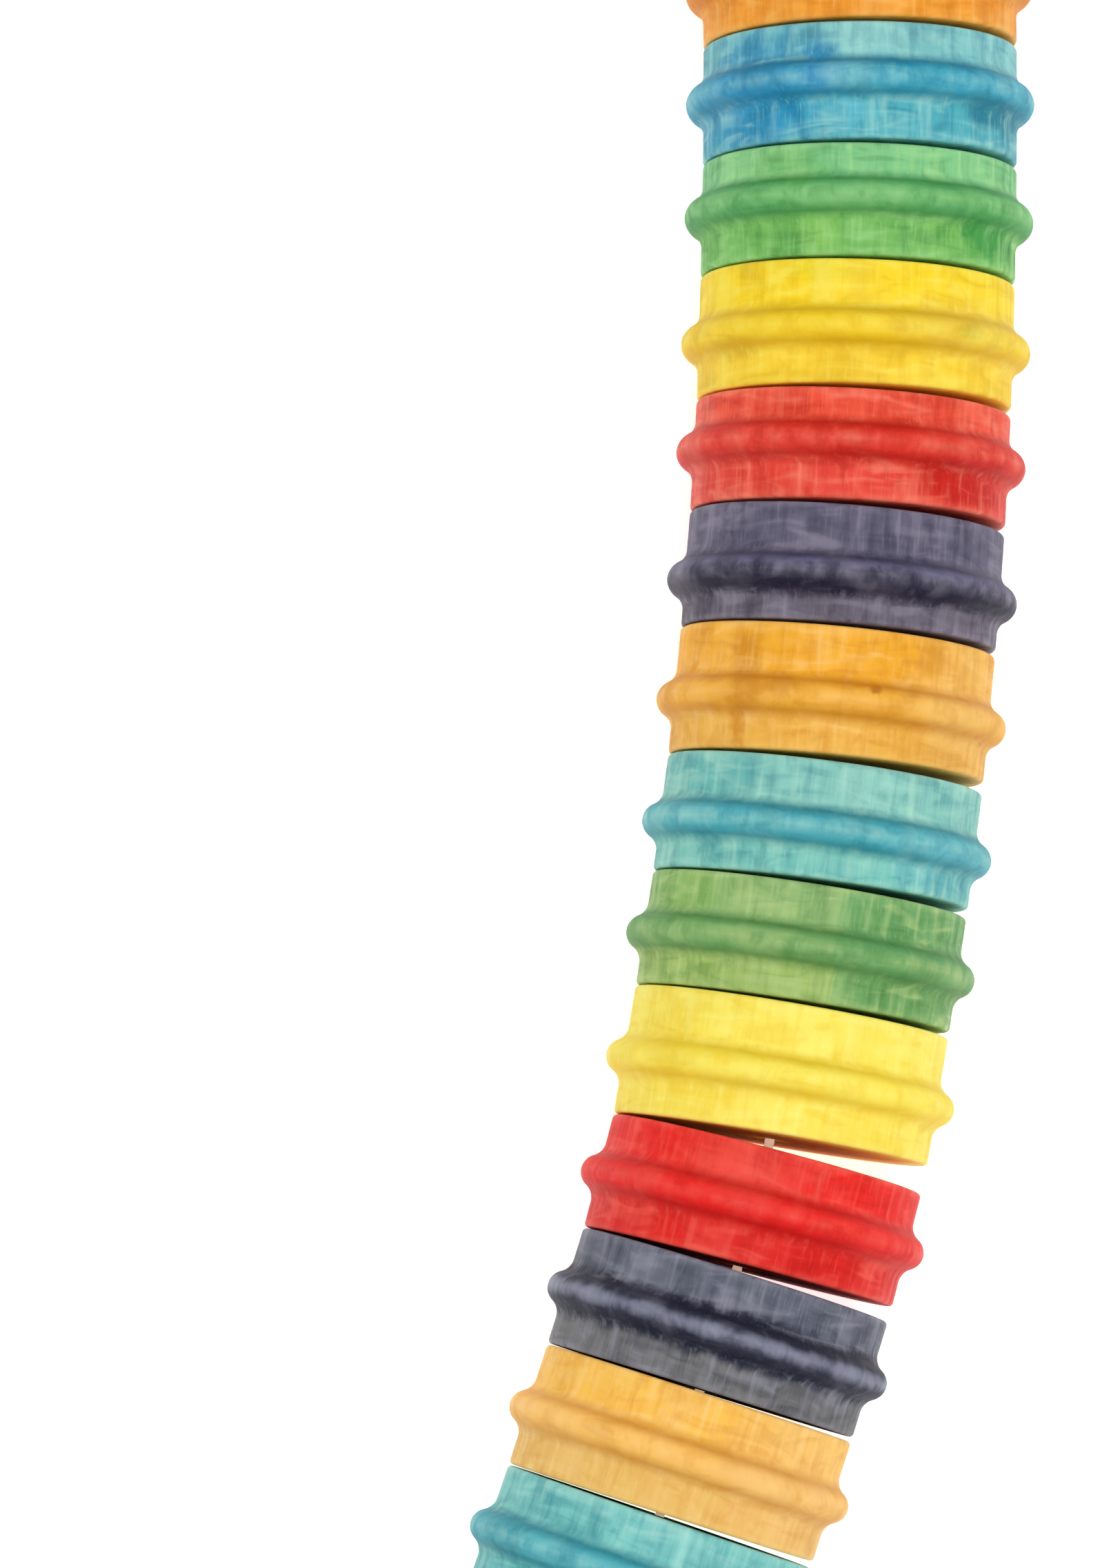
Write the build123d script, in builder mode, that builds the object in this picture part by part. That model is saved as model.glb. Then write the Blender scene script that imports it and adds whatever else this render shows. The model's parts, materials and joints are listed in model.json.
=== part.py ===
from build123d import *
from math import asin, atan2, degrees, radians, sin, tan
import os

# Twisty snake: stained, turned wooden discs threaded on one elastic cord between a head and a tail.
# It lies on a table at z = 0, on the beads of its discs, and runs from the head at +Y to the tail at
# -Y, bending towards -X. Millimetres, +Z up, origin on the table under the middle of its box.

# ---- Driving dimensions ----
BODY_D = 31.5  # disc, beside its bead
BEAD_D = 35.0  # disc, over its bead
FACE_GAP = 0.15  # between two faces drawn together by the cord
RIM_R = 0.4  # rounding of a face's rim
BEAD_HALF_W = 3.0  # from the bead's crest to where it has run out into the body
BORE_D = 3.0
BORE_MOUTH_R = 0.3
CORD_D = 1.0
KNOT_D = 4.4
CORD_STUB = 2.0  # loose end behind a knot

# The discs are turned by hand, so each has its own thickness, and a bead a little off its middle,
# towards the tail where the shift is positive. From the neck to the tail:
THICKNESSES = [11.9, 12.2, 11.5, 12.0, 12.3, 11.6, 12.0, 11.7, 11.2, 12.3, 11.0, 11.6]
THICKNESSES += [12.6, 11.6, 11.4, 12.8, 11.5, 11.9, 12.3, 11.8, 12.1, 11.5, 12.2, 11.7]
BEAD_SHIFTS = [0.4, 0.1, 0.6, 0.3, 0.7, 0.2, 0.5, -0.2, -0.3, 0.6, -0.3, 1.1]
BEAD_SHIFTS += [0.9, 0.9, 0.5, 0.7, 0.2, 0.3, 0.4, 0.5, 0.1, 0.6, 0.2, 0.4]

HEAD_L = 48.0
HEAD_CHEEK_AT = 27.0  # widest place, from the nose
HEAD_NOSE_R = 7.0
HEAD_NECK_D = 31.2
EYE_D = 3.6
EYE_DEPTH = 3.0
EYE_DOME = 1.2
EYE_FORWARD = 22.0  # degrees round the long arc of the head, from the cheek towards the nose
EYE_ASIDE = 42.0  # degrees round the head's axis, from the top

TAIL_L = 46.0
TAIL_BEAD_AT = 5.2
TAIL_SHOULDER_AT = 10.0  # where the taper starts, from the front face
TAIL_TIP_R = 3.5

SOCKET_D = 7.0  # blind hole for the bush and the knot, in the head and in the tail
SOCKET_DEPTH = 16.0
BUSH_L = 7.0
BUSH_BORE_D = 1.6
GLUE = 0.02  # glue line round a bush or an eye, on the radius

# How far each joint stands open at rest, in degrees, from the neck to the tail.
REST_OPENINGS = [3.2, 2.4, 2.9, 2.2, 2.6, 1.9, 1.4, 1.0, 1.0, 0.7, 1.3, 1.4, 0.9]
REST_OPENINGS += [1.8, 1.4, 0.9, 5.0, 2.6, 0.6, 0.9, 2.9, 3.6, 4.0, 3.0, 2.2]
FULL_OPENING = 10.0  # where the cord gives no more

# The neck, and the way the snake sets off from it: a turn from -Y towards -X.
NECK_X = 13.6
NECK_Y = 143.3
NECK_TURN = -18.6

# ---- Worked out from them ----
BODY_R = BODY_D / 2
BEAD_R = BEAD_D / 2
BORE_R = BORE_D / 2
BEAD_H = BEAD_R - BODY_R
BEAD_ARC_R = (BEAD_HALF_W**2 + BEAD_H**2) / (4 * BEAD_H)  # of its crest, and of the hollows beside it
BEAD_TURN = degrees(asin(BEAD_HALF_W / (2 * BEAD_ARC_R)))  # its slope halfway down
PIVOT_R = BODY_R - RIM_R  # two discs roll on the edges of their flat faces
KNOT_AT = BUSH_L + 0.2 + KNOT_D / 2  # a knot's middle, from the open end of its socket
UP = Vector(0, 0, 1)


# ---- Where the pieces sit ----
def turned(vector, turn):
    """A level vector turned clockwise, as seen from above, by so many degrees."""
    return vector.rotate(Axis.Z, -turn)


class Place:
    """The middle of a piece's front face, the way its axis runs, and its length.

    Outlines are drawn on its plane: x along the axis from the front face, y out towards the outer
    side of the bend.
    """

    def __init__(self, front, heading, length):
        self.front = front
        self.heading = heading
        self.length = length
        self.rear = front + heading * length
        self.inner = turned(heading, 90)
        self.plane = Plane(origin=front, x_dir=heading, z_dir=UP)
        self.axis = Axis(front, heading)


def pivot_behind(place):
    """The spot on the inner rim of a piece's rear face that the next piece rolls about."""
    return place.rear + place.inner * PIVOT_R + place.heading * (FACE_GAP / 2)


def place_behind(place, opening, length):
    """The next piece, with the joint in front of it open by so many degrees."""
    pivot = pivot_behind(place)
    closed_front = place.rear + place.heading * FACE_GAP
    front = pivot + turned(closed_front - pivot, opening)
    return Place(front, turned(place.heading, opening), length)


def chain():
    """The head, the discs and the tail, in order."""
    heading = turned(Vector(0, -1, 0), NECK_TURN)
    neck = Vector(NECK_X, NECK_Y, BEAD_R)
    places = [Place(neck - heading * HEAD_L, heading, HEAD_L)]
    for opening, length in zip(REST_OPENINGS, THICKNESSES + [TAIL_L]):
        places.append(place_behind(places[-1], opening, length))
    return places


# ---- Outlines ----
def corners_at(sketch, along, out):
    """The corners of a sketch in the making at one point of its own plane."""
    corners = sketch.sketch_local.vertices()
    return [v for v in corners if abs(v.X - along) < 1e-5 and abs(v.Y - out) < 1e-5]


def draw_bead(middle):
    """The bead's outline, front to rear: a hollow, the round crest and a hollow, all tangent."""
    hollow_out = BODY_R + BEAD_ARC_R
    CenterArc((middle - BEAD_HALF_W, hollow_out), BEAD_ARC_R, 270, BEAD_TURN)
    CenterArc((middle, BEAD_R - BEAD_ARC_R), BEAD_ARC_R, 90 + BEAD_TURN, -2 * BEAD_TURN)
    CenterArc((middle + BEAD_HALF_W, hollow_out), BEAD_ARC_R, 270 - BEAD_TURN, BEAD_TURN)


def ogive(widest_r, tip_r, length):
    """The long arc from a piece's widest place to the ball at its tip.

    Returns its radius and the angle, in degrees, that the ball keeps of its quarter circle. The
    length runs from the widest place to the tip.
    """
    run = length - tip_r
    radius = (run**2 + widest_r**2 - tip_r**2) / (2 * (widest_r - tip_r))
    return radius, degrees(atan2(radius - widest_r, run))


def write(piece, name):
    piece.part.label = name
    export_step(piece.part, f"parts/{name}.step")


# ---- Discs ----
def make_disc(place, bead_shift):
    """A flat-faced disc with its bead and a bore for the cord."""
    thickness = place.length
    bead_at = thickness / 2 + bead_shift
    with BuildPart() as disc:
        with BuildSketch(place.plane) as outline:
            with BuildLine():
                draw_bead(bead_at)
                Polyline(
                    (bead_at + BEAD_HALF_W, BODY_R),
                    (thickness, BODY_R),
                    (thickness, BORE_R),
                    (0, BORE_R),
                    (0, BODY_R),
                    (bead_at - BEAD_HALF_W, BODY_R),
                )
            make_face()
            for along in (0, thickness):
                fillet(corners_at(outline, along, BODY_R), RIM_R)
                fillet(corners_at(outline, along, BORE_R), BORE_MOUTH_R)
        revolve(axis=place.axis)
    return disc


# ---- Head ----
HEAD_ARC_R, HEAD_NOSE_KEPT = ogive(BEAD_R, HEAD_NOSE_R, HEAD_CHEEK_AT)
HEAD_NECK_L = HEAD_L - HEAD_CHEEK_AT
HEAD_NECK_DROP = BEAD_R - HEAD_NECK_D / 2
HEAD_NECK_ARC_R = (HEAD_NECK_L**2 + HEAD_NECK_DROP**2) / (2 * HEAD_NECK_DROP)

with BuildSketch() as head_outline:
    with BuildLine():
        nose = CenterArc((HEAD_NOSE_R, 0), HEAD_NOSE_R, 180, -HEAD_NOSE_KEPT)
        arc_middle = (HEAD_CHEEK_AT, BEAD_R - HEAD_ARC_R)
        cheek = CenterArc(arc_middle, HEAD_ARC_R, 180 - HEAD_NOSE_KEPT, HEAD_NOSE_KEPT - 90)
        neck_arc = RadiusArc(cheek @ 1, (HEAD_L, HEAD_NECK_D / 2), HEAD_NECK_ARC_R)
        Polyline(neck_arc @ 1, (HEAD_L, 0), nose @ 0)
    make_face()
    fillet(corners_at(head_outline, HEAD_L, HEAD_NECK_D / 2), RIM_R)


def eye_seat(place, side):
    """A plane on the head's skin, its normal straight out of it. Side 1 is the inner side."""
    forward = radians(EYE_FORWARD)
    aside = UP.rotate(Axis((0, 0, 0), place.heading), side * EYE_ASIDE)
    out = aside * sin(radians(90) - forward) - place.heading * sin(forward)
    arc_middle_at = place.front + place.heading * HEAD_CHEEK_AT + aside * (BEAD_R - HEAD_ARC_R)
    return Plane(origin=arc_middle_at + out * HEAD_ARC_R, z_dir=out)


def make_head(place):
    """Turned head with a socket in the neck and two drilled eyes."""
    with BuildPart() as head:
        with BuildSketch(place.plane):
            add(head_outline.sketch)
        revolve(axis=place.axis)
        with BuildSketch(Plane(origin=place.rear, z_dir=place.heading)):
            Circle(SOCKET_D / 2 + GLUE)
        extrude(amount=-SOCKET_DEPTH, mode=Mode.SUBTRACT)
        for side in (-1, 1):
            with BuildSketch(eye_seat(place, side)):
                Circle(EYE_D / 2 + GLUE)
            extrude(amount=EYE_DEPTH, both=True, mode=Mode.SUBTRACT)
    return head


def make_eye(place, side):
    """A domed peg in its hole."""
    seat = eye_seat(place, side)
    dome_r = (EYE_D**2 / 4 + EYE_DOME**2) / (2 * EYE_DOME)
    with BuildPart() as eye:
        with BuildSketch(Plane(origin=seat.origin, x_dir=seat.z_dir, z_dir=seat.x_dir)):
            with BuildLine():
                Polyline((EYE_DOME, 0), (-EYE_DEPTH, 0), (-EYE_DEPTH, EYE_D / 2), (0, EYE_D / 2))
                RadiusArc((0, EYE_D / 2), (EYE_DOME, 0), dome_r)
            make_face()
        revolve(axis=Axis(seat.origin, seat.z_dir))
    return eye


# ---- Tail ----
TAIL_ARC_R, TAIL_TIP_KEPT = ogive(BODY_R, TAIL_TIP_R, TAIL_L - TAIL_SHOULDER_AT)

with BuildSketch() as tail_outline:
    with BuildLine():
        Polyline((0, 0), (0, BODY_R), (TAIL_BEAD_AT - BEAD_HALF_W, BODY_R))
        draw_bead(TAIL_BEAD_AT)
        Line((TAIL_BEAD_AT + BEAD_HALF_W, BODY_R), (TAIL_SHOULDER_AT, BODY_R))
        taper = CenterArc((TAIL_SHOULDER_AT, BODY_R - TAIL_ARC_R), TAIL_ARC_R, 90, TAIL_TIP_KEPT - 90)
        tip = CenterArc((TAIL_L - TAIL_TIP_R, 0), TAIL_TIP_R, TAIL_TIP_KEPT, -TAIL_TIP_KEPT)
        Line(tip @ 1, (0, 0))
    make_face()
    fillet(corners_at(tail_outline, 0, BODY_R), RIM_R)


def make_tail(place):
    """Turned tail: a bead like the discs', then a taper to a round tip."""
    with BuildPart() as tail:
        with BuildSketch(place.plane):
            add(tail_outline.sketch)
        revolve(axis=place.axis)
        with BuildSketch(Plane(origin=place.front, z_dir=place.heading)):
            Circle(SOCKET_D / 2 + GLUE)
        extrude(amount=SOCKET_DEPTH, mode=Mode.SUBTRACT)
    return tail


# ---- Bushes and cord ----
def make_bush(mouth, inward):
    """Wooden bush glued flush in a socket, so that the knot can't come out."""
    with BuildPart() as bush:
        with BuildSketch(Plane(origin=mouth, z_dir=inward)):
            Circle(SOCKET_D / 2)
            Circle(BUSH_BORE_D / 2, mode=Mode.SUBTRACT)
        extrude(amount=BUSH_L)
    return bush


def bend_radius(opening):
    """The cord turns through half an opening between a face and the middle of the joint."""
    return PIVOT_R + FACE_GAP / 2 / tan(radians(opening / 2))


def make_cord(place, first, last, opening_before=None, opening_behind=None, knot_at=None):
    """The cord's stretch in one piece, from one joint's middle to the next one's.

    first and last are where its straight run starts and ends along the piece's axis. A stretch in
    an end piece has a joint on one side only and stops at its knot.
    """
    with BuildPart() as cord:
        with BuildLine(place.plane) as route:
            if opening_before:
                radius = bend_radius(opening_before)
                CenterArc((0, -radius), radius, 90 + opening_before / 2, -opening_before / 2)
            Line((first, 0), (last, 0))
            if opening_behind:
                radius = bend_radius(opening_behind)
                CenterArc((last, -radius), radius, 90, -opening_behind / 2)
        start = route.line @ 0
        with BuildSketch(Plane(origin=start, z_dir=route.line % 0)):
            Circle(CORD_D / 2)
        sweep()
        if knot_at:
            with Locations(place.front + place.heading * knot_at):
                Sphere(KNOT_D / 2)
    return cord


# ---- The whole snake ----
PLACES = chain()
HEAD = PLACES[0]
DISCS = PLACES[1:-1]
TAIL = PLACES[-1]


def main():
    os.makedirs("parts", exist_ok=True)
    write(make_head(HEAD), "head")
    write(make_bush(HEAD.rear, -HEAD.heading), "head_bush")
    write(make_eye(HEAD, 1), "eye_inner")
    write(make_eye(HEAD, -1), "eye_outer")
    knot_at = HEAD_L - KNOT_AT
    head_cord = make_cord(
        HEAD, knot_at - KNOT_D / 2 - CORD_STUB, HEAD_L, opening_behind=REST_OPENINGS[0], knot_at=knot_at
    )
    write(head_cord, "cord_head")
    for number, (place, bead_shift) in enumerate(zip(DISCS, BEAD_SHIFTS), start=1):
        write(make_disc(place, bead_shift), f"disc_{number:02d}")
        before, behind = REST_OPENINGS[number - 1], REST_OPENINGS[number]
        write(make_cord(place, 0, place.length, before, behind), f"cord_{number:02d}")
    write(make_tail(TAIL), "tail")
    write(make_bush(TAIL.front, TAIL.heading), "tail_bush")
    tail_end = KNOT_AT + KNOT_D / 2 + CORD_STUB
    tail_cord = make_cord(TAIL, 0, tail_end, opening_before=REST_OPENINGS[-1], knot_at=KNOT_AT)
    write(tail_cord, "cord_tail")


main()
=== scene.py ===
"""Twisty snake: stained, turned wooden discs on an elastic cord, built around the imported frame.

Every piece is made in the row frame. Outlines are written in millimetres, as (along, out): along a
piece's axis from its front face, and out from the axis.
"""

import json
from math import asin, atan2, cos, degrees, pi, radians, sin

import bpy
from mathutils import Matrix, Vector, noise


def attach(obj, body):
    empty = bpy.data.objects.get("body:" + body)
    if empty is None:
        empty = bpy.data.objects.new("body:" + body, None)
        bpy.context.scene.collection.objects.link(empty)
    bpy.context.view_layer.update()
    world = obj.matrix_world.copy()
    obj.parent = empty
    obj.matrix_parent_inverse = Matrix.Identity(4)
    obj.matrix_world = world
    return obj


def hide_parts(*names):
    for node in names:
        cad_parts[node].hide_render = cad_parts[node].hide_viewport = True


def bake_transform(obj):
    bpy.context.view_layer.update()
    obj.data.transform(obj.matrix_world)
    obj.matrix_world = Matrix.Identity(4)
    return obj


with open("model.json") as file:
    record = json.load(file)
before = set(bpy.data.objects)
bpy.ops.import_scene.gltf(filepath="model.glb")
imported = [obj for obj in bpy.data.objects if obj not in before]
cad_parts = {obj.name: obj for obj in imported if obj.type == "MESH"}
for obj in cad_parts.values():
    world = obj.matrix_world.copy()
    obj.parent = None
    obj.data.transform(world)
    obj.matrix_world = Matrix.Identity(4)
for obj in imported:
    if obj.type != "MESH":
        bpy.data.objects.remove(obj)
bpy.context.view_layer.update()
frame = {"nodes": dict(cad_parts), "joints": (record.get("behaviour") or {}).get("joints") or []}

# ---- Sizes, in millimetres ----
MM = 0.001
BODY_R = 15.75
BEAD_R = 17.5
BEAD_HALF_W = 3.0
BEAD_H = BEAD_R - BODY_R
BEAD_ARC_R = (BEAD_HALF_W**2 + BEAD_H**2) / (4 * BEAD_H)
RIM_R = 0.4
BORE_R = 1.5
BORE_MOUTH_R = 0.3
FACE_GAP = 0.15
CORD_R = 0.5
HEAD_L = 48.0
HEAD_CHEEK_AT = 27.0
HEAD_NOSE_R = 7.0
HEAD_NECK_R = 15.6
TAIL_L = 46.0
TAIL_BEAD_AT = 5.2
TAIL_SHOULDER_AT = 10.0
TAIL_TIP_R = 3.5
SOCKET_R = 3.52
SOCKET_DEPTH = 16.0
BUSH_R = 3.5
BUSH_L = 7.0
BUSH_BORE_R = 0.8
KNOT_AT = 9.4  # from the open end of its socket
KNOT_R = 1.6  # of the knot's own loop
CORD_STUB = 2.0
BRAID_DEPTH = 0.05
BROKEN_EDGE = 0.15  # of a bush
UNEVEN_SLOW = 0.035  # how far a gouge strays round a piece, and along it
UNEVEN_RIDGES = 0.02

# ---- Stain and painted shade on a bead's two sides, and edges rubbed pale, in millimetres ----
SIDE_DARK_AT = 0.55 * BEAD_HALF_W  # from the crest
SIDE_DARK_REACH = 0.9
SIDE_DARK_REAR = 0.75  # the share of it behind the crest
RUBBED_RIM = 0.7
RUBBED_CREST = 1.0
RUBBED_CREST_SHARE = 0.9

DISC_COUNT = 24
TURN_STEPS = 144
SHARP_AT = radians(38)
HEAD_SEED = 31
TAIL_SEED = 37

# ---- Light and camera ----
SKY = 0.26
KEY_AT = (0.13, 0.0, 1.6)  # metres
KEY_SIZE = (2.3, 0.4)  # metres
KEY_WATTS = 25
TABLE_R = 15.0  # metres
TABLE_GLOW = 0.7
CORD_GLOW = 0.4
CAMERA_AT = (-2.05, -82.4, 717.5)  # millimetres
CAMERA_TILT = 5.13  # degrees, towards the head
CAMERA_ROLL = 1.33
CAMERA_LENS = 162.1

UP = Vector((0, 0, 1))


# ---- Where the pieces sit, read from the joints ----
JOINTS = {joint["name"]: joint for joint in frame["joints"]}


class Place:
    """A piece's front face, the way its axis runs, its length, and the side seen to its right."""

    def __init__(self, front, heading, length):
        self.front = front
        self.heading = heading.normalized()
        self.length = length
        self.across = UP.cross(self.heading).normalized()

    def at(self, along, across=0.0, up=0.0):
        offset = self.heading * along + self.across * across + UP * up
        return self.front + offset * MM


def joint_point(name):
    return Vector(JOINTS[name]["pos_m"])


def threaded_places():
    """The discs and the tail. A piece ends half a gap short of the pivot behind it."""
    labels = [f"{number:02d}" for number in range(1, DISC_COUNT + 1)] + ["tail"]
    places = []
    for label, label_behind in zip(labels, labels[1:] + [None]):
        front = joint_point(f"twist_{label}")
        heading = -Vector(JOINTS[f"twist_{label}"]["axis"])
        length = TAIL_L
        if label_behind:
            to_pivot = joint_point(f"bend_{label_behind}") - front
            length = to_pivot.dot(heading) / MM - FACE_GAP / 2
        places.append(Place(front, heading, length))
    return places


def head_place(first):
    """The head: the first disc rolled back about the neck's pivot until the joint is shut."""
    pivot = joint_point("bend_01")
    opening = -radians(JOINTS["bend_01"]["range_deg"][0])
    shut = Matrix.Rotation(opening, 4, "Z")
    heading = shut @ first.heading
    neck = pivot + shut @ (first.front - pivot) - heading * FACE_GAP * MM
    return Place(neck - heading * HEAD_L * MM, heading, HEAD_L)


def bead_middle(node, place):
    """How far along its axis a disc's bead stands: the middle of the CAD node's widest points."""
    widest = []
    for vertex in frame["nodes"][node].data.vertices:
        offset = (vertex.co - place.front) / MM
        along = offset.dot(place.heading)
        if (offset - place.heading * along).length > BEAD_R - 0.01:
            widest.append(along)
    return (min(widest) + max(widest)) / 2


*DISCS, TAIL = threaded_places()
HEAD = head_place(DISCS[0])


# ---- Outlines ----
def arc(along, out, radius, start, end, steps):
    """Points of an arc round (along, out), from one angle to another in degrees."""
    turns = [radians(start + (end - start) * step / steps) for step in range(steps + 1)]
    return [(along + radius * cos(turn), out + radius * sin(turn)) for turn in turns]


def straight(start, end, steps):
    """Points between two ends, without the ends."""
    along, out = end[0] - start[0], end[1] - start[1]
    shares = [step / steps for step in range(1, steps)]
    return [(start[0] + along * share, start[1] + out * share) for share in shares]


def bead(middle):
    """A bead that runs out into the body in a hollow at each side, front to rear."""
    turn = degrees(asin(BEAD_HALF_W / (2 * BEAD_ARC_R)))
    hollow_out = BODY_R + BEAD_ARC_R
    return [
        *arc(middle - BEAD_HALF_W, hollow_out, BEAD_ARC_R, 270, 270 + turn, 9),
        *arc(middle, BEAD_R - BEAD_ARC_R, BEAD_ARC_R, 90 + turn, 90 - turn, 18)[1:],
        *arc(middle + BEAD_HALF_W, hollow_out, BEAD_ARC_R, 270 - turn, 270, 9)[1:],
    ]


def disc_outline(length, middle):
    """From the front end of the bore, round the outside, and back along the bore."""
    ridge = bead(middle)
    mouth = BORE_R + BORE_MOUTH_R
    front_rim = arc(RIM_R, BODY_R - RIM_R, RIM_R, 180, 90, 5)
    rear_rim = arc(length - RIM_R, BODY_R - RIM_R, RIM_R, 90, 0, 5)
    return [
        *arc(BORE_MOUTH_R, mouth, BORE_MOUTH_R, 270, 180, 3),
        *straight((0, mouth), front_rim[0], 5),
        *front_rim,
        *straight(front_rim[-1], ridge[0], 5),
        *ridge,
        *straight(ridge[-1], rear_rim[0], 5),
        *rear_rim,
        *straight(rear_rim[-1], (length, mouth), 5),
        *arc(length - BORE_MOUTH_R, mouth, BORE_MOUTH_R, 0, -90, 3),
    ]


def ogive(widest_r, tip_r, length):
    """Radius of the long arc from a piece's widest place to the ball at its tip, and the angle, in
    degrees, that the ball keeps of its quarter circle."""
    run = length - tip_r
    radius = (run**2 + widest_r**2 - tip_r**2) / (2 * (widest_r - tip_r))
    return radius, degrees(atan2(radius - widest_r, run))


def head_outline():
    """From the nose over the cheek to the neck, and into the socket."""
    arc_r, nose_kept = ogive(BEAD_R, HEAD_NOSE_R, HEAD_CHEEK_AT)
    neck_l = HEAD_L - HEAD_CHEEK_AT
    drop = BEAD_R - HEAD_NECK_R
    neck_arc_r = (neck_l**2 + drop**2) / (2 * drop)
    neck_turn = degrees(asin((neck_l - RIM_R) / neck_arc_r))
    floor_at = HEAD_L - SOCKET_DEPTH
    return [
        *arc(HEAD_NOSE_R, 0, HEAD_NOSE_R, 180, 180 - nose_kept, 12),
        *arc(HEAD_CHEEK_AT, BEAD_R - arc_r, arc_r, 180 - nose_kept, 90, 24)[1:],
        *arc(HEAD_CHEEK_AT, BEAD_R - neck_arc_r, neck_arc_r, 90, 90 - neck_turn, 14)[1:],
        *arc(HEAD_L - RIM_R, HEAD_NECK_R - RIM_R, RIM_R, 80, 0, 5),
        *straight((HEAD_L, HEAD_NECK_R - RIM_R), (HEAD_L, SOCKET_R), 5),
        (HEAD_L, SOCKET_R),
        (floor_at, SOCKET_R),
        (floor_at, 0),
    ]


def tail_outline():
    """From the socket over the bead and down the taper to the tip."""
    arc_r, tip_kept = ogive(BODY_R, TAIL_TIP_R, TAIL_L - TAIL_SHOULDER_AT)
    ridge = bead(TAIL_BEAD_AT)
    rim = arc(RIM_R, BODY_R - RIM_R, RIM_R, 180, 90, 5)
    return [
        (SOCKET_DEPTH, 0),
        (SOCKET_DEPTH, SOCKET_R),
        (0, SOCKET_R),
        *straight((0, SOCKET_R), rim[0], 5),
        *rim,
        *straight(rim[-1], ridge[0], 3),
        *ridge,
        *arc(TAIL_SHOULDER_AT, BODY_R - arc_r, arc_r, 90, tip_kept, 26),
        *arc(TAIL_L - TAIL_TIP_R, 0, TAIL_TIP_R, tip_kept, 0, 10)[1:],
    ]


def bush_outline(start):
    """A plain collar with its edges broken."""
    end = start + BUSH_L
    return [
        (start, BUSH_BORE_R + BROKEN_EDGE),
        (start, BUSH_R - BROKEN_EDGE),
        (start + BROKEN_EDGE, BUSH_R),
        (end - BROKEN_EDGE, BUSH_R),
        (end, BUSH_R - BROKEN_EDGE),
        (end, BUSH_BORE_R + BROKEN_EDGE),
        (end - BROKEN_EDGE, BUSH_BORE_R),
        (start + BROKEN_EDGE, BUSH_BORE_R),
    ]


# ---- Turning an outline into a piece ----
def darkened_by_stain_and_shade(along, out, middle):
    """Stain gathered, and painted shade, at a point: most halfway down each side of the bead."""
    if middle is None or out < BODY_R - 0.5:
        return 0.0
    off = abs(abs(along - middle) - SIDE_DARK_AT)
    share = 1.0 if along < middle else SIDE_DARK_REAR
    return share * max(0.0, 1 - off / SIDE_DARK_REACH)


def edge_worn(along, out, length, middle):
    """How much an edge is rubbed: the rims of the faces, and the crest of the bead."""
    rim = crest = 0.0
    if out > BODY_R - 0.8:
        rim = max(0.0, 1 - min(along, length - along) / RUBBED_RIM)
    if middle is not None and out > BODY_R + 1:
        crest = max(0.0, 1 - abs(along - middle) / RUBBED_CREST)
    return max(rim, RUBBED_CREST_SHARE * crest)


def hand_turned(along, out, turn, seed):
    """A radius with the slight unevenness a hand-held gouge leaves."""
    if out < BODY_R - 1:
        return out
    slow = noise.noise(Vector((cos(turn) * 0.9, sin(turn) * 0.9, along * 0.12 + seed)))
    ridges = noise.noise(Vector((along * 1.7, seed * 3.1, 0.2 * cos(turn))))
    return out + min(0.0, UNEVEN_SLOW * slow + UNEVEN_RIDGES * ridges - UNEVEN_RIDGES)


def lathe(name, place, outline, closed, seed=0.0, middle=None):
    """Turns an outline about a place's axis. The mesh carries what its stain needs: "grain", the
    point's millimetres across, up and along the piece, "pooled", its gathered stain and painted
    shade, and "worn"."""
    vertices, grain, painted_shade_and_stain, worn, rings = [], [], [], [], []
    for along, out in outline:
        steps = 1 if out < 1e-6 else TURN_STEPS
        rings.append(range(len(vertices), len(vertices) + steps))
        for step in range(steps):
            turn = 2 * pi * step / steps
            radius = hand_turned(along, out, turn, seed)
            across, up = radius * cos(turn), radius * sin(turn)
            vertices.append(place.at(along, across, up))
            grain.append((across, up, along))
            painted_shade_and_stain.append(darkened_by_stain_and_shade(along, out, middle))
            worn.append(edge_worn(along, out, place.length, middle))
    faces = []
    pairs = list(zip(rings, rings[1:])) + ([(rings[-1], rings[0])] if closed else [])
    for before, after in pairs:
        for step in range(TURN_STEPS):
            behind = (step + 1) % TURN_STEPS
            corners = [
                before[step % len(before)],
                before[behind % len(before)],
                after[behind % len(after)],
                after[step % len(after)],
            ]
            faces.append(list(dict.fromkeys(corners)))
    return mesh_piece(name, vertices, faces, grain, painted_shade_and_stain, worn)


def mesh_piece(name, vertices, faces, grain, painted_shade_and_stain=None, worn=None):
    mesh = bpy.data.meshes.new(name)
    mesh.from_pydata(vertices, [], faces)
    mesh.validate()
    layer = mesh.attributes.new("grain", "FLOAT_VECTOR", "POINT")
    layer.data.foreach_set("vector", [value for point in grain for value in point])
    for label, values in (("painted_shade_and_stain", painted_shade_and_stain), ("worn", worn)):
        if values:
            mesh.attributes.new(label, "FLOAT", "POINT").data.foreach_set("value", values)
    mesh.shade_smooth()
    mesh.set_sharp_from_angle(angle=SHARP_AT)
    piece = bpy.data.objects.new(name, mesh)
    bpy.context.scene.collection.objects.link(piece)
    face_outwards(mesh)
    return piece


def face_outwards(mesh):
    """Turns a closed mesh's faces so that their normals point out of it."""
    volume = 0.0
    for polygon in mesh.polygons:
        volume += polygon.center.dot(polygon.normal) * polygon.area
    if volume < 0:
        mesh.flip_normals()


# ---- Materials ----
def srgb(red, green, blue):
    """A colour as it looks on a screen, from 0 to 255, as the shader's own colour."""
    shares = [value / 255 for value in (red, green, blue)]
    linear = [s / 12.92 if s <= 0.04045 else ((s + 0.055) / 1.055) ** 2.4 for s in shares]
    return (*linear, 1.0)


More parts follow.
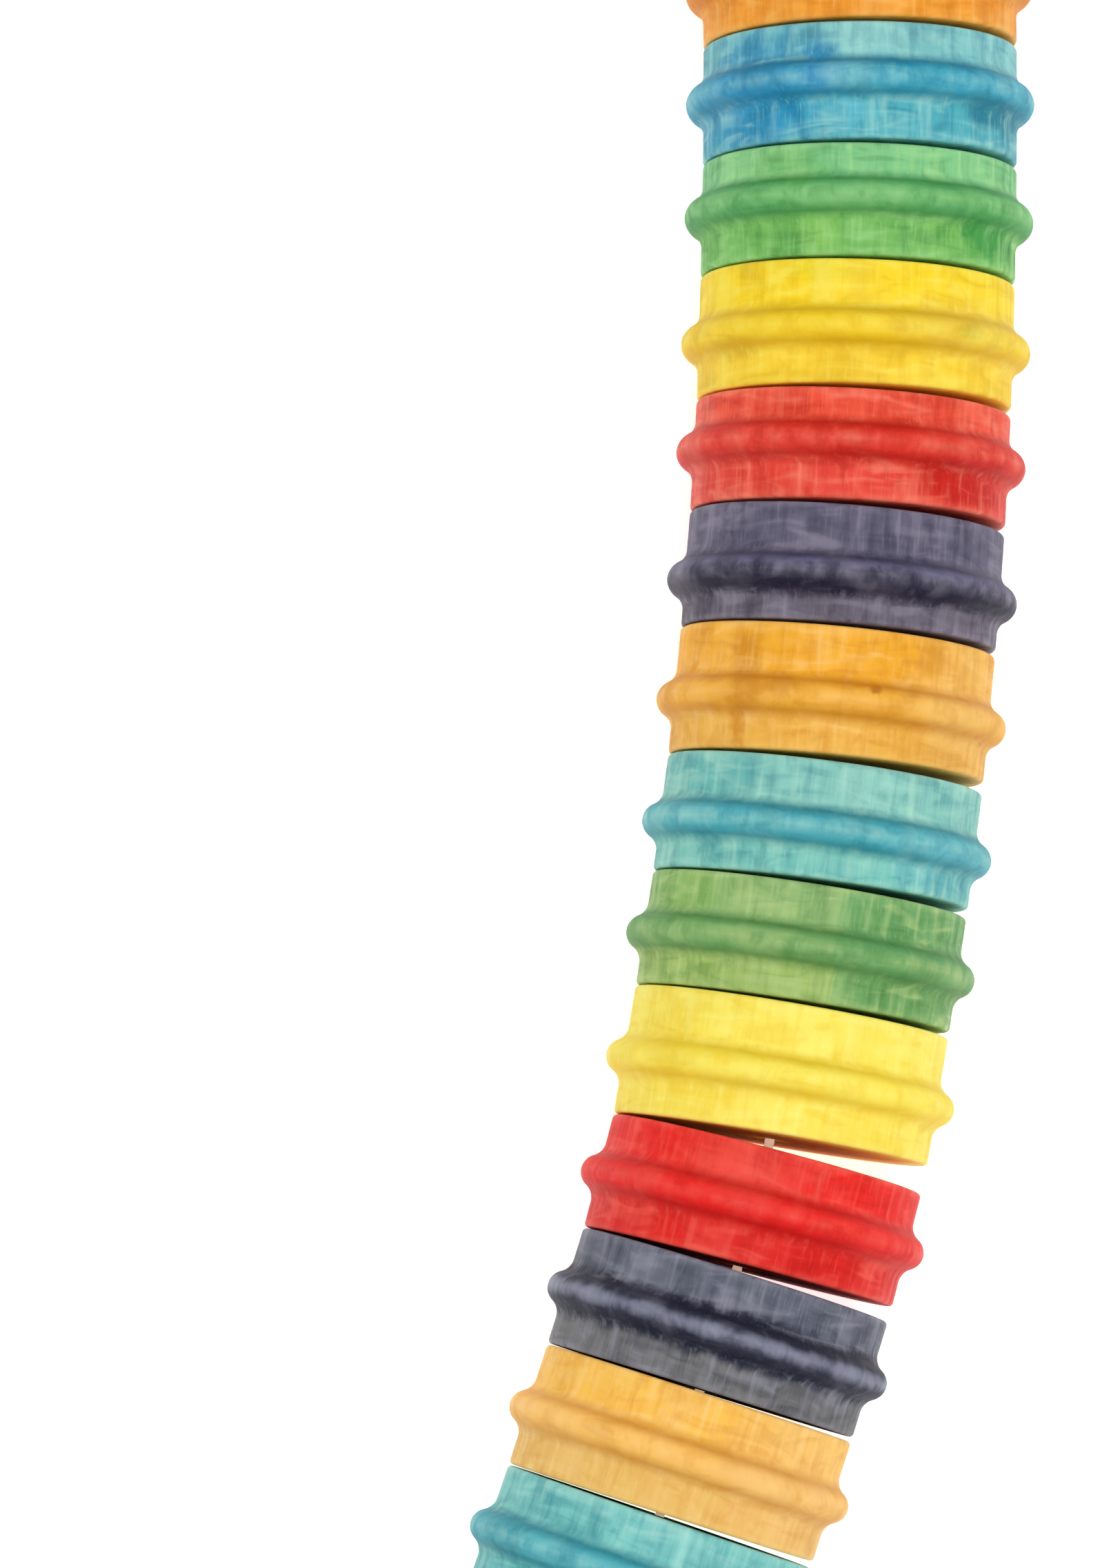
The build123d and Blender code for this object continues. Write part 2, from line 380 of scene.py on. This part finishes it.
class Nodes:
    """A new material and short ways to add nodes to it."""

    def __init__(self, name):
        self.material = bpy.data.materials.new(name)
        self.material.use_nodes = True
        self.tree = self.material.node_tree
        self.tree.nodes.clear()

    def add(self, kind, inputs, **settings):
        node = self.tree.nodes.new("ShaderNode" + kind)
        for setting, value in settings.items():
            setattr(node, setting, value)
        for socket, value in inputs.items():
            if isinstance(value, bpy.types.NodeSocket):
                self.tree.links.new(value, node.inputs[socket])
            else:
                node.inputs[socket].default_value = value
        return node

    def carried(self, label, output="Fac"):
        return self.add("Attribute", {}, attribute_name=label).outputs[output]

    def math(self, operation, first, second=0.0):
        return self.add("Math", {0: first, 1: second}, operation=operation).outputs[0]

    def stretch(self, vector, scale):
        return self.add("VectorMath", {0: vector, 1: scale}, operation="MULTIPLY").outputs[0]

    def shift(self, vector, offset):
        return self.add("VectorMath", {0: vector, 1: offset}, operation="ADD").outputs[0]

    def noise(self, vector, detail=2.0, roughness=0.5, distortion=0.0):
        inputs = {"Vector": vector, "Scale": 1.0, "Detail": detail, "Roughness": roughness}
        inputs["Distortion"] = distortion
        return self.add("TexNoise", inputs).outputs["Fac"]

    def between(self, value, low, high, start=0.0, end=1.0):
        inputs = {"Value": value, "From Min": low, "From Max": high, "To Min": start, "To Max": end}
        return self.add("MapRange", inputs, interpolation_type="SMOOTHSTEP").outputs["Result"]

    def mix(self, share, first, second, how="MIX"):
        node = self.add("Mix", {}, data_type="RGBA", blend_type=how)
        for socket, value in ((0, share), (6, first), (7, second)):
            if isinstance(value, bpy.types.NodeSocket):
                self.tree.links.new(value, node.inputs[socket])
            else:
                node.inputs[socket].default_value = value
        return node.outputs[2]

    def finish(self, colour, roughness, height, bump_mm, **constants):
        """Ends in a Principled shader. Constants go straight to its own sockets."""
        bump = self.add("Bump", {"Height": height, "Strength": 1.0, "Distance": bump_mm * MM})
        inputs = {"Base Color": colour, "Roughness": roughness, "Normal": bump.outputs[0]}
        shader = self.add("BsdfPrincipled", inputs)
        for socket, value in constants.items():
            shader.inputs[socket.replace("_", " ")].default_value = value
        self.add("OutputMaterial", {"Surface": shader.outputs[0]})
        return self.material

    def glow(self, colour, strength):
        """Makes a finished surface a little bright in itself."""
        shader = next(node for node in self.tree.nodes if node.type == "BSDF_PRINCIPLED")
        shader.inputs["Emission Color"].default_value = colour
        shader.inputs["Emission Strength"].default_value = strength


class Stain:
    """One piece's stain: on the bands before and behind the bead, on the bead, the dark it gathers
    to, which also paints shade on the bead's sides, and the pale of the fibres that took little.
    Patches are places where a brushful shows, or rings of stain and painted shade:
    (across, along, half width, half length, colour, share)."""

    def __init__(self, front, bead, rear, gathered, pale, patches=(), edge=None):
        self.front = front
        self.bead = bead
        self.rear = rear
        self.gathered = gathered
        self.pale = pale
        self.patches = patches
        self.edge = edge  # (across, colour): past it the stain went on a second time


def stained_wood(name, stain, seed, middle):
    """Open-grained wood under a thin water stain: fibres along the axis, rings on the faces. The
    bead took more stain than the bands, which were turned last and show their fibres."""
    n = Nodes(name)
    grain = n.carried("grain", "Vector")
    moved = n.shift(grain, (seed * 37.0, seed * 19.0, seed * 53.0))
    split = n.add("SeparateXYZ", {"Vector": grain}).outputs
    round_axis = n.stretch(grain, (1.0, 1.0, 0.0))
    out = n.add("VectorMath", {0: round_axis}, operation="LENGTH").outputs["Value"]
    on_bead = n.between(out, BODY_R + 0.15, BODY_R + 0.9)
    fibres = n.noise(n.stretch(moved, (1.0, 1.0, 0.11)), 2.0, 0.5)
    fine = n.noise(n.stretch(moved, (4.0, 4.0, 0.45)), 2.0, 0.5)
    drift = n.noise(n.stretch(moved, (0.13, 0.13, 0.1)), 3.0, 0.55, 0.6)
    wet = n.noise(n.stretch(moved, (0.42, 0.42, 0.3)), 3.0, 0.6, 0.4)
    brushed = n.noise(n.stretch(moved, (0.16, 0.16, 0.6)), 2.0, 0.5, 0.8)

    behind = n.between(split["Z"], middle - 0.5, middle + 0.5)
    colour = n.mix(behind, srgb(*stain.front), srgb(*stain.rear))
    colour = n.mix(on_bead, colour, srgb(*stain.bead))
    for across, along, half_w, half_l, patch, share in stain.patches:
        off = n.shift(grain, (-across, 0.0, -along))
        flat = n.stretch(off, (1 / half_w, 0.0, 1 / half_l))
        far = n.add("VectorMath", {0: flat}, operation="LENGTH").outputs["Value"]
        ragged = n.math("ADD", far, n.between(wet, 0.2, 0.8, -0.25, 0.25))
        colour = n.mix(n.between(ragged, 0.4, 1.25, share, 0.0), colour, srgb(*patch))
    if stain.edge:
        across, beyond = stain.edge
        past = n.math("ADD", split["X"], n.between(fine, 0.3, 0.7, -0.25, 0.25))
        share = n.between(past, across - 0.5, across + 0.6, 0.0, 0.8)
        colour = n.mix(share, colour, srgb(*beyond))

    colour = n.mix(n.between(drift, 0.5, 0.7, 0.0, 0.26), colour, srgb(*stain.pale))
    colour = n.mix(n.between(drift, 0.48, 0.3, 0.0, 0.35), colour, srgb(*stain.gathered))
    colour = n.mix(n.between(wet, 0.52, 0.34, 0.0, 0.25), colour, srgb(*stain.gathered))
    bare = n.math("SUBTRACT", 1.0, n.math("MULTIPLY", on_bead, 0.75))
    stroke = n.math("MULTIPLY", n.between(brushed, 0.5, 0.75, 0.0, 0.5), bare)
    colour = n.mix(stroke, colour, srgb(*stain.pale))
    colour = n.mix(n.between(brushed, 0.5, 0.28, 0.0, 0.36), colour, srgb(*stain.gathered))
    streak = n.math("MULTIPLY", n.between(fibres, 0.5, 0.8, 0.0, 0.5), bare)
    colour = n.mix(streak, colour, srgb(*stain.pale))
    sunk = n.math("MULTIPLY", n.between(fibres, 0.5, 0.24, 0.0, 0.3), bare)
    colour = n.mix(sunk, colour, srgb(*stain.gathered))
    fleck = n.math("MULTIPLY", n.between(fine, 0.52, 0.8, 0.0, 0.3), bare)
    colour = n.mix(fleck, colour, srgb(*stain.pale))
    # painted shade, with some gathered stain: darker halfway down each side of the bead
    dark = n.math("MULTIPLY", n.carried("painted_shade_and_stain"), n.between(wet, 0.25, 0.75, 0.45, 0.8))
    colour = n.mix(dark, colour, srgb(*stain.gathered))
    rubbed = n.math("MULTIPLY", n.carried("worn"), n.between(wet, 0.35, 0.7, 0.1, 0.5))
    colour = n.mix(rubbed, colour, srgb(*stain.pale))

    pith = n.stretch(n.shift(grain, (seed % 7 - 3.0, seed % 5 + 8.0, 0.0)), (1.0, 1.0, 0.0))
    from_pith = n.add("VectorMath", {0: pith}, operation="LENGTH").outputs["Value"]
    years = n.math("SINE", n.math("MULTIPLY", n.math("ADD", from_pith, fibres), 3.4))
    colour = n.mix(n.between(years, 0.2, 1.0, 0.0, 0.1), colour, srgb(*stain.gathered))

    scraped = n.noise(n.stretch(moved, (0.05, 0.05, 9.0)), 2.0)
    height = n.math("ADD", n.math("MULTIPLY", fibres, 0.6), n.math("MULTIPLY", fine, 0.35))
    height = n.math("ADD", height, n.math("MULTIPLY", scraped, 0.25))
    roughness = n.between(n.math("ADD", fibres, rubbed), 0.3, 1.2, 0.66, 0.5)
    return n.finish(colour, roughness, height, 0.06, IOR=1.45, Specular_IOR_Level=0.2)


def plain_wood():
    """The bushes: unstained beech with short flecks."""
    n = Nodes("plain_wood")
    grain = n.carried("grain", "Vector")
    fibres = n.noise(n.stretch(grain, (2.4, 2.4, 0.12)), 5.0, 0.6)
    flecks = n.noise(n.stretch(grain, (5.0, 5.0, 0.9)), 2.0)
    colour = n.mix(n.between(fibres, 0.3, 0.7), srgb(214, 178, 132), srgb(236, 208, 168))
    colour = n.mix(n.between(flecks, 0.6, 0.72, 0.0, 0.5), colour, srgb(176, 132, 88))
    roughness = n.between(fibres, 0.3, 0.7, 0.62, 0.5)
    return n.finish(colour, roughness, fibres, 0.05, Specular_IOR_Level=0.3)


def eye_paint():
    """Black gloss paint on a peg, brushed on a little unevenly."""
    n = Nodes("eye_paint")
    where = n.add("TexCoord", {}).outputs["Object"]
    brushed = n.noise(n.stretch(where, (900.0, 900.0, 900.0)), 3.0)
    colour = n.mix(n.between(brushed, 0.3, 0.7), srgb(18, 17, 19), srgb(34, 32, 36))
    roughness = n.between(brushed, 0.3, 0.7, 0.16, 0.28)
    return n.finish(colour, roughness, brushed, 0.02, Coat_Weight=0.4)


def cord_cotton():
    """Cream elastic under a braided cotton cover, with painted shade between its threads. It glows
    a little as painted light, so that it shows in a slot.
    """
    n = Nodes("cord_cotton")
    grain = n.carried("grain", "Vector")
    threads = n.noise(n.stretch(grain, (6.0, 6.0, 3.0)), 3.0)
    colour = n.mix(n.between(threads, 0.3, 0.7), srgb(250, 226, 200), srgb(255, 246, 232))
    # painted shade between the braid's threads
    colour = n.mix(n.carried("painted_shade_and_stain"), colour, srgb(224, 190, 158))
    roughness = n.between(threads, 0.3, 0.7, 0.78, 0.9)
    material = n.finish(colour, roughness, threads, 0.04, Sheen_Weight=0.2)
    # painted light: the cord glows in place of the light that barely reaches it in a slot
    n.glow(srgb(255, 222, 190), CORD_GLOW)
    return material


# ---- The six stains ----
STAINS = {
    "orange": Stain(
        (250, 182, 66), (244, 168, 58), (242, 182, 74), (206, 128, 34), (254, 210, 132)
    ),
    "blue": Stain((116, 190, 190), (66, 166, 186), (96, 182, 186), (18, 112, 140), (168, 222, 214)),
    "green": Stain((126, 190, 118), (98, 168, 98), (132, 186, 92), (42, 118, 56), (180, 222, 152)),
    "yellow": Stain(
        (254, 222, 58), (248, 212, 50), (254, 218, 62), (214, 168, 18), (255, 242, 124)
    ),
    "red": Stain((242, 66, 48), (232, 44, 34), (232, 50, 40), (170, 14, 8), (254, 132, 106)),
    "navy": Stain((96, 94, 114), (84, 84, 108), (98, 96, 108), (30, 28, 48), (150, 148, 162)),
}
ORDER = ["orange", "blue", "green", "yellow", "red", "navy"]

# Discs whose brushwork differs from their neighbours' of the same colour.
BRUSHWORK = {
    7: Stain((250, 166, 50), (242, 152, 42), (246, 160, 48), (200, 112, 16), (254, 200, 112)),
    8: Stain(
        (128, 200, 200),
        (54, 166, 192),
        (84, 180, 192),
        (14, 110, 142),
        (166, 222, 214),
        [
            (-10.5, 7.0, 6.5, 7.5, (34, 142, 194), 0.8),
            (-4.6, 4.6, 2.4, 3.4, (32, 136, 194), 0.75),
            (1.5, 1.2, 8.0, 1.8, (146, 204, 196), 0.5),
            (-2.0, 9.2, 2.0, 1.8, (112, 200, 218), 0.5),
            (13.0, 8.2, 4.0, 1.8, (18, 116, 136), 0.7),
        ],
    ),
    9: Stain(
        (134, 206, 142),
        (98, 176, 104),
        (124, 192, 96),
        (42, 126, 58),
        (172, 226, 150),
        [
            (-7.5, 2.4, 4.0, 2.4, (112, 182, 82), 0.5),
            (-4.6, 9.0, 2.6, 2.2, (152, 210, 98), 0.6),
            (12.6, 8.4, 3.0, 2.6, (44, 150, 66), 0.8),
        ],
    ),
    10: Stain(
        (254, 220, 38),
        (246, 206, 32),
        (252, 212, 56),
        (214, 170, 20),
        (255, 238, 100),
        [
            (-4.2, 1.0, 3.4, 1.4, (228, 216, 36), 0.5),
            (9.5, 6.2, 7.0, 3.6, (236, 198, 70), 0.7),
            (10.9, 6.6, 1.4, 1.0, (196, 166, 36), 0.7),
            (-12.5, 8.6, 3.4, 1.2, (216, 174, 16), 0.6),
        ],
    ),
    11: Stain(
        (242, 86, 60),
        (228, 50, 36),
        (234, 72, 56),
        (178, 20, 10),
        (254, 142, 116),
        [(10.0, 8.4, 5.5, 3.2, (200, 18, 12), 0.85)],
    ),
    12: Stain(
        (104, 100, 122),
        (104, 102, 132),
        (104, 96, 110),
        (30, 26, 50),
        (152, 146, 162),
        # a dark ring all round the bead's rear slope: partly stain, partly painted shade
        [(0.0, 7.8, 60.0, 1.6, (22, 20, 46), 0.98)],
    ),
    13: Stain(
        (250, 180, 48),
        (246, 178, 58),
        (240, 182, 76),
        (204, 126, 22),
        (254, 206, 122),
        [
            (-9.0, 5.6, 1.7, 7.0, (200, 126, 24), 0.6),
            (-5.6, 6.4, 1.6, 1.4, (204, 130, 26), 0.6),
            (3.6, 6.0, 0.7, 0.6, (176, 102, 24), 0.8),
            (12.0, 6.0, 5.0, 8.0, (242, 194, 108), 0.6),
        ],
    ),
    14: Stain(
        (136, 202, 190),
        (78, 176, 188),
        (124, 200, 188),
        (22, 118, 136),
        (176, 226, 206),
        [
            (-11.0, 2.0, 5.0, 3.0, (80, 176, 174), 0.6),
            (12.0, 8.6, 6.0, 3.4, (104, 188, 200), 0.6),
        ],
    ),
    15: Stain(
        (152, 190, 120),
        (110, 164, 94),
        (164, 192, 104),
        (62, 120, 56),
        (192, 216, 142),
        [(-12.5, 2.2, 4.0, 3.0, (130, 180, 76), 0.6)],
        edge=(3.0, (96, 160, 98)),
    ),
    16: Stain((254, 234, 96), (254, 230, 80), (254, 230, 90), (234, 196, 30), (255, 246, 132)),
    17: Stain(
        (240, 38, 32),
        (238, 30, 28),
        (226, 36, 30),
        (188, 16, 10),
        (250, 104, 88),
        [(-2.0, 2.4, 6.0, 3.2, (244, 88, 72), 0.6)],
    ),
    18: Stain(
        (98, 102, 116),
        (118, 122, 142),
        (116, 116, 116),
        (24, 28, 48),
        (158, 158, 174),
        # dark rings all round both sides of the bead: partly stain, partly painted shade on its
        # slopes
        [(0.0, 4.6, 60.0, 1.2, (26, 30, 48), 0.95), (0.0, 7.7, 60.0, 1.3, (22, 26, 50), 0.95)],
    ),
    19: Stain(
        (254, 198, 84),
        (254, 194, 94),
        (236, 192, 104),
        (216, 146, 56),
        (254, 214, 142),
        [(10.0, 6.0, 7.0, 9.0, (250, 200, 122), 0.6)],
    ),
    20: Stain((124, 202, 196), (80, 178, 190), (104, 192, 190), (22, 120, 140), (172, 226, 214)),
}


# ---- The pieces ----
def show(piece, material):
    piece.data.materials.append(material)


def make_disc(number, place):
    node = f"disc_{number:02d}"
    colour = ORDER[(number - 1) % len(ORDER)]
    middle = bead_middle(node, place)
    outline = disc_outline(place.length, middle)
    disc = lathe(f"turned_{node}", place, outline, True, number, middle)
    stain = BRUSHWORK.get(number, STAINS[colour])
    show(disc, stained_wood(f"stain_{node}", stain, number, middle))
    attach(disc, node)
    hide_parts(node)


def make_ends():
    """The head and the tail, each with the bush in its socket."""
    head = lathe("turned_head", HEAD, head_outline(), False, HEAD_SEED)
    navy = stained_wood("stain_head", STAINS["navy"], HEAD_SEED, HEAD_CHEEK_AT)
    show(head, navy)
    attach(head, "head")
    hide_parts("head")
    tail = lathe("turned_tail", TAIL, tail_outline(), False, TAIL_SEED, TAIL_BEAD_AT)
    orange = stained_wood("stain_tail", STAINS["orange"], TAIL_SEED, TAIL_BEAD_AT)
    show(tail, orange)
    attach(tail, "tail")
    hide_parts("tail")
    wood = plain_wood()
    for place, start, body in ((HEAD, HEAD_L - BUSH_L, "head"), (TAIL, 0.0, "tail")):
        bush = lathe(f"turned_{body}_bush", place, bush_outline(start), True)
        show(bush, wood)
        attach(bush, body)
        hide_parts(f"{body}_bush")


def paint_eyes():
    """The eye pegs keep their CAD shape, and take a brushed gloss paint."""
    paint = eye_paint()
    for side in ("inner", "outer"):
        eye = frame["nodes"][f"eye_{side}"]
        eye.data.materials.clear()
        eye.data.materials.append(paint)
        eye.data.shade_smooth()
        eye.data.set_sharp_from_angle(angle=SHARP_AT)


# ---- The cord ----
def tube(line, first=0):
    """Rings of a braided tube along a line of points: vertices, faces, grain and the painted shade
    between the threads."""
    around = 16
    vertices, faces, grain, painted_shade_and_stain = [], [], [], []
    run = 0.0
    for index, point in enumerate(line):
        ahead = line[min(index + 1, len(line) - 1)]
        behind = line[max(index - 1, 0)]
        way = (ahead - behind).normalized()
        side = way.cross(UP if abs(way.z) < 0.9 else Vector((1, 0, 0))).normalized()
        over = side.cross(way)
        run += (point - behind).length / MM if index else 0.0
        for step in range(around):
            turn = 2 * pi * step / around
            braid = cos(4 * turn + 5.2 * run) * cos(4 * turn - 5.2 * run)
            radius = (CORD_R - BRAID_DEPTH + BRAID_DEPTH * braid) * MM
            vertices.append(point + (side * cos(turn) + over * sin(turn)) * radius)
            grain.append((CORD_R * cos(turn), CORD_R * sin(turn), run))
            # painted shade in the hollows between the threads
            painted_shade_and_stain.append(max(0.0, -braid) * 0.8)
    for ring in range(len(line) - 1):
        for step in range(around):
            here = first + ring * around + step
            beside = first + ring * around + (step + 1) % around
            faces.append([here, beside, beside + around, here + around])
    last = (len(line) - 1) * around
    faces.append([first + step for step in reversed(range(around))])
    faces.append([first + last + step for step in range(around)])
    return vertices, faces, grain, painted_shade_and_stain


def smooth_line(points, steps):
    """A curve through points, in even steps between each two (Catmull-Rom)."""
    ends = [points[0] * 2 - points[1], *points, points[-1] * 2 - points[-2]]
    line = []
    for a, b, c, d in zip(ends, ends[1:], ends[2:], ends[3:]):
        for step in range(steps):
            t = step / steps
            bent = (2 * a - 5 * b + 4 * c - d) * t**2 + (3 * b - a - 3 * c + d) * t**3
            line.append(b + ((c - a) * t + bent) / 2)
    return line + [points[-1]]


def knot(place, at):
    """An overhand knot pulled round: one closed trefoil of cord about a spot on the axis."""
    line = []
    steps = 96
    size = KNOT_R / 3
    for step in range(steps + 1):
        turn = 2 * pi * step / steps
        across = size * (sin(turn) + 2 * sin(2 * turn))
        up = size * (cos(turn) - 2 * cos(2 * turn))
        line.append(place.at(at - 0.6 * sin(3 * turn), across, up))
    return line


def make_cord():
    """One piece across each joint, from the middle of one threaded piece to the middle of the next.
    It runs through points 1 mm inside the two faces."""
    cotton = cord_cotton()
    chain = [HEAD, *DISCS, TAIL]
    bodies = ["head"] + [f"disc_{number:02d}" for number in range(1, DISC_COUNT + 1)]
    labels = [f"{number:02d}" for number in range(1, DISC_COUNT + 1)] + ["tail"]
    for before, after, body, label in zip(chain, chain[1:], bodies, labels):
        start_at = HEAD_L - KNOT_AT if before is HEAD else before.length / 2
        end_at = KNOT_AT if after is TAIL else after.length / 2
        points = [
            before.at(start_at),
            before.at(before.length - 2),
            before.at(before.length - 1),
            after.at(1),
            after.at(2),
            after.at(end_at),
        ]
        lines = [smooth_line(points, 16)]
        if before is HEAD:
            knot_at = HEAD_L - KNOT_AT
            stub = [before.at(knot_at - CORD_STUB - 1, 0.5, 0.6), before.at(knot_at)]
            lines += [knot(before, knot_at), smooth_line(stub, 12)]
        if after is TAIL:
            stub = [after.at(KNOT_AT), after.at(KNOT_AT + CORD_STUB + 1, 0.5, 0.6)]
            lines += [knot(after, KNOT_AT), smooth_line(stub, 12)]
        vertices, faces, grain, painted_shade_and_stain = [], [], [], []
        for line in lines:
            more = tube(line, len(vertices))
            for whole, part in zip((vertices, faces, grain, painted_shade_and_stain), more):
                whole.extend(part)
        piece = mesh_piece(f"braided_cord_{label}", vertices, faces, grain, painted_shade_and_stain)
        show(piece, cotton)
        before.at(before.length - 1)
        after.at(1)
        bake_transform(piece)
        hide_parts(f"cord_{label}", *(["cord_head"] if before is HEAD else []))


# ---- Table, light and camera ----
def make_table():
    """A wide white table top, a little bright in itself like a lit sweep, so shadows stay faint."""
    n = Nodes("white_table")
    where = n.add("TexCoord", {}).outputs["Object"]
    mottle = n.noise(n.stretch(where, (30.0, 30.0, 30.0)), 3.0)
    colour = n.mix(n.between(mottle, 0.3, 0.7), srgb(250, 250, 250), srgb(255, 255, 255))
    material = n.finish(colour, 0.9, mottle, 0.01, Specular_IOR_Level=0.1)
    n.glow((1.0, 1.0, 1.0, 1.0), TABLE_GLOW)
    corners = 96
    turns = [2 * pi * step / corners for step in range(corners)]
    rim = [Vector((TABLE_R * cos(turn), TABLE_R * sin(turn), 0)) for turn in turns]
    mesh = bpy.data.meshes.new("table")
    mesh.from_pydata(rim, [], [list(range(corners))])
    table = bpy.data.objects.new("table", mesh)
    mesh.materials.append(material)
    bpy.context.scene.collection.objects.link(table)


def softbox(name, place, aim, width, height, power):
    light = bpy.data.lights.new(name, "AREA")
    light.shape = "RECTANGLE"
    light.size = width
    light.size_y = height
    light.energy = power
    lamp = bpy.data.objects.new(name, light)
    lamp.visible_camera = False
    lamp.location = place
    lamp.rotation_euler = (Vector(aim) - Vector(place)).to_track_quat("-Z", "Y").to_euler()
    bpy.context.scene.collection.objects.link(lamp)


def make_light():
    world = bpy.data.worlds.new("studio")
    world.use_nodes = True
    background = world.node_tree.nodes["Background"]
    background.inputs["Color"].default_value = (1.0, 1.0, 1.0, 1.0)
    background.inputs["Strength"].default_value = SKY
    bpy.context.scene.world = world
    softbox("key", KEY_AT, (0, 0, 0), *KEY_SIZE, KEY_WATTS)


def make_camera():
    camera = bpy.data.objects.new("camera", bpy.data.cameras.new("camera"))
    camera.data.lens = CAMERA_LENS
    camera.data.clip_end = 50
    tilt = Matrix.Rotation(radians(CAMERA_TILT), 4, "X")
    roll = Matrix.Rotation(radians(CAMERA_ROLL), 4, "Z")
    camera.matrix_world = Matrix.Translation(Vector(CAMERA_AT) * MM) @ tilt @ roll
    bpy.context.scene.collection.objects.link(camera)
    bpy.context.scene.camera = camera


for number, place in enumerate(DISCS, start=1):
    make_disc(number, place)
make_ends()
paint_eyes()
make_cord()
make_table()
make_light()
make_camera()
bpy.context.scene.view_settings.view_transform = "Standard"
